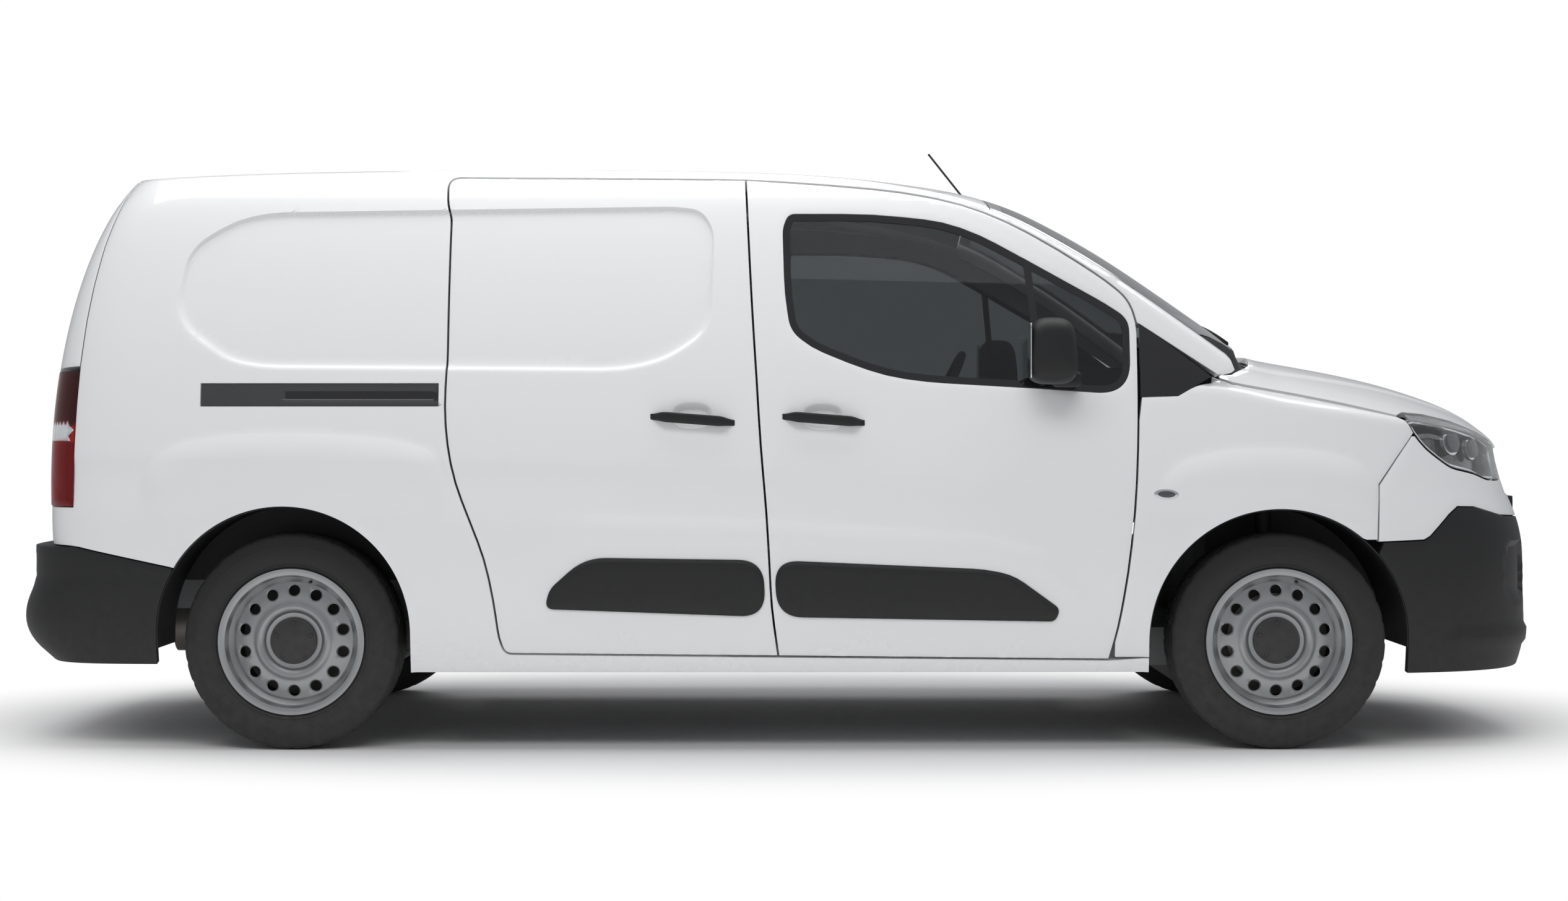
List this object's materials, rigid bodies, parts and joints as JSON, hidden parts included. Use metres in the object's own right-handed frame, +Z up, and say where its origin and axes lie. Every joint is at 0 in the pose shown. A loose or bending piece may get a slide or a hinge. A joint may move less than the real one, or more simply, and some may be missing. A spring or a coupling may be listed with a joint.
{
  "type": "panel van",
  "caption": "Long white panel van with hinged cab doors, bonnet and rear doors, closed load space, steel wheels that steer and roll.",
  "frame": {"origin": "on the ground on the centre line, under the middle of the overall length", "axes": "+X forward along the length, +Y left, +Z up"},
  "size_m": [4.7523, 2.107, 1.8919],
  "materials": {
    "paint": "gloss white",
    "dark_trim": "grained dark grey",
    "gloss_trim": "gloss black",
    "glass": "tinted",
    "lamp_clear": "clear lamp cover",
    "lamp_red": "smoked red lamp cover",
    "wheel_steel": "silver lacquer",
    "tyre": "worn rubber",
    "chassis_steel": "satin black",
    "exhaust_steel": "dull",
    "engine": "cast",
    "cab_plastic": "soft dark grey",
    "seat_fabric": "woven dark grey",
    "floor_paint": "satin"
  },
  "bodies": {
    "van_body": {"floor_pan": "floor_paint", "body_sides": "paint", "roof_panel": "paint", "bulkhead": "floor_paint", "windscreen": "glass", "front_wings": "paint", "scuttle": "dark_trim", "engine_bay": "chassis_steel", "engine_block": "engine", "front_bumper": "paint", "front_skirt": "dark_trim", "grille": "gloss_trim", "headlamps": "lamp_clear", "wipers": "dark_trim", "antenna": "dark_trim", "arch_liners": "dark_trim", "sliding_doors": "paint", "body_trims": "dark_trim", "tail_lamps": "lamp_red", "rear_bumper": "dark_trim", "rear_axle": "chassis_steel", "front_subframe": "chassis_steel", "exhaust": "exhaust_steel", "fuel_tank": "cab_plastic", "dashboard": "cab_plastic", "seats": "seat_fabric"},
    "bonnet_lid": {"bonnet": "paint"},
    "right_front_door": {"front_door_right": "paint", "door_glass_right": "glass", "door_fittings_right": "dark_trim"},
    "left_front_door": {"front_door_left": "paint", "door_glass_left": "glass", "door_fittings_left": "dark_trim"},
    "right_rear_door": {"rear_door_right": "paint"},
    "left_rear_door": {"rear_door_left": "paint"},
    "right_knuckle": {"knuckle_right": "chassis_steel"},
    "left_knuckle": {"knuckle_left": "chassis_steel"},
    "steering": {"steering_wheel": "cab_plastic"},
    "front_right_wheel": {"wheel_front_right": "wheel_steel", "tyre_front_right": "tyre"},
    "front_left_wheel": {"wheel_front_left": "wheel_steel", "tyre_front_left": "tyre"},
    "rear_right_wheel": {"wheel_rear_right": "wheel_steel", "tyre_rear_right": "tyre"},
    "rear_left_wheel": {"wheel_rear_left": "wheel_steel", "tyre_rear_left": "tyre"}
  },
  "joints": [
    {"name": "bonnet_hinge", "type": "hinge", "parent": "van_body", "child": "bonnet_lid", "pos_m": [1.18105, 0, 1.13975], "axis": [0, -1, 0], "range_deg": [0, 50]},
    {"name": "right_front_door_hinge", "type": "hinge", "parent": "van_body", "child": "right_front_door", "pos_m": [0.99749, -0.90853, 0.9], "axis": [0, 0, 1], "range_deg": [0, 68]},
    {"name": "left_front_door_hinge", "type": "hinge", "parent": "van_body", "child": "left_front_door", "pos_m": [0.99749, 0.90853, 0.9], "axis": [0, 0, -1], "range_deg": [0, 68]},
    {"name": "right_rear_door_hinge", "type": "hinge", "parent": "van_body", "child": "right_rear_door", "pos_m": [-2.26602, -0.88, 1.1], "axis": [0, 0, 1], "range_deg": [0, 180]},
    {"name": "left_rear_door_hinge", "type": "hinge", "parent": "van_body", "child": "left_rear_door", "pos_m": [-2.26602, 0.88, 1.1], "axis": [0, 0, -1], "range_deg": [0, 180]},
    {"name": "right_steer", "type": "hinge", "parent": "van_body", "child": "right_knuckle", "pos_m": [1.4845, -0.7, 0.19], "axis": [0, 0.1859, 0.9826], "range_deg": [-33, 33]},
    {"name": "left_steer", "type": "hinge", "parent": "van_body", "child": "left_knuckle", "pos_m": [1.4845, 0.7, 0.19], "axis": [0, -0.1859, 0.9826], "range_deg": [-33, 33]},
    {"name": "steering_wheel_turn", "type": "hinge", "parent": "van_body", "child": "steering", "pos_m": [0.53845, 0.38, 1.06], "axis": [-0.9063, 0, 0.4226], "range_deg": [-500, 500]},
    {"name": "front_right_spin", "type": "hinge", "parent": "right_knuckle", "child": "front_right_wheel", "pos_m": [1.4845, -0.7765, 0.326], "axis": [0, 1, 0], "continuous": true},
    {"name": "front_left_spin", "type": "hinge", "parent": "left_knuckle", "child": "front_left_wheel", "pos_m": [1.4845, 0.7765, 0.326], "axis": [0, 1, 0], "continuous": true},
    {"name": "rear_right_spin", "type": "hinge", "parent": "van_body", "child": "rear_right_wheel", "pos_m": [-1.4905, -0.784, 0.326], "axis": [0, 1, 0], "continuous": true},
    {"name": "rear_left_spin", "type": "hinge", "parent": "van_body", "child": "rear_left_wheel", "pos_m": [-1.4905, 0.784, 0.326], "axis": [0, 1, 0], "continuous": true}
  ],
  "couplings": [
    {"joint": "left_steer", "follows": "right_steer", "ratio": 1},
    {"joint": "steering_wheel_turn", "follows": "right_steer", "ratio": 15}
  ]
}
